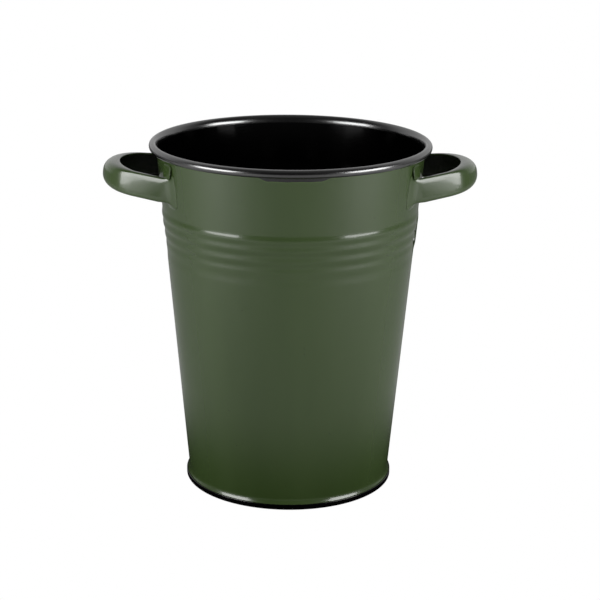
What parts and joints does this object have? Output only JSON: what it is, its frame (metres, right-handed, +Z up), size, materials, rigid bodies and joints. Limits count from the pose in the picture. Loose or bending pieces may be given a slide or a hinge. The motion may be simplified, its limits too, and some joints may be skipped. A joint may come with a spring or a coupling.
{
  "type": "florist bucket",
  "caption": "Tapered enamelled sheet-steel bucket for cut flowers, with a rolled rim, bead band, hemmed foot and fixed loop handles on both sides.",
  "frame": {"origin": "centre of the foot, on the surface that the bucket stands on", "axes": "+Z up along the bucket's axis; the handles stand out along -X and +X; the side seam faces +X"},
  "size_m": [0.2672, 0.2, 0.25],
  "materials": {
    "green_enamel": "glossy vitreous enamel, olive green outside",
    "black_enamel": "glossy vitreous enamel, black",
    "rim_steel": "drawn wire"
  },
  "bodies": {
    "root": {"body_wall": "green_enamel", "rim_wire": "rim_steel", "base_pan": "black_enamel", "handle_left": "green_enamel", "handle_right": "green_enamel"}
  },
  "joints": []
}
